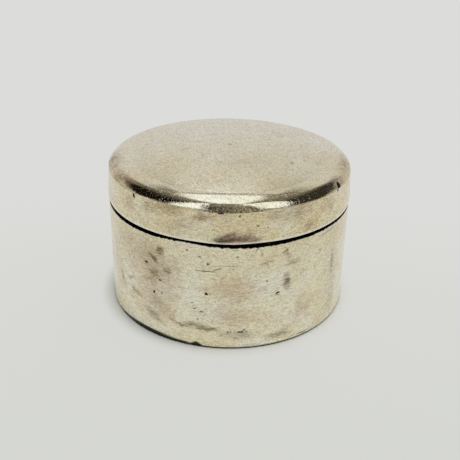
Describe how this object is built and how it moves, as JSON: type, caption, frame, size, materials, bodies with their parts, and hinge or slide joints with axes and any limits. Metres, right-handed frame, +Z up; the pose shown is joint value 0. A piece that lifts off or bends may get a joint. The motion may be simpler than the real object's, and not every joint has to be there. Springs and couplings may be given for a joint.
{
  "type": "pyx",
  "caption": "Plain round silver pyx: a low soldered box with an inner collar and a pull-off lid with a pressed, rounded crown, for carrying hosts.",
  "frame": {"origin": "centre of the underside, on the surface that the box stands on", "axes": "+Z up along the box's axis, -Y towards the front in the picture"},
  "size_m": [0.052, 0.052, 0.0324],
  "materials": {
    "worn_silver": "old silver, handled to a soft shine, with a warm yellow tarnish, small pits and scratches",
    "gilt_silver": "thin gilding over silver, rubbed through where the lid slides",
    "silver_solder": "silver solder, a little yellower and duller than the sheet"
  },
  "bodies": {
    "box": {"base_plate": "worn_silver", "body_wall": "worn_silver", "wall_seam": "silver_solder", "base_solder": "silver_solder", "collar": "gilt_silver", "collar_seam": "silver_solder", "collar_solder": "silver_solder"},
    "lid": {"lid_band": "worn_silver", "band_seam": "silver_solder", "lid_crown": "worn_silver", "lid_solder": "silver_solder"}
  },
  "joints": [
    {"name": "lid_lift", "type": "slide", "parent": "box", "child": "lid", "axis": [0, 0, 1], "range_m": [0, 0.04]}
  ]
}
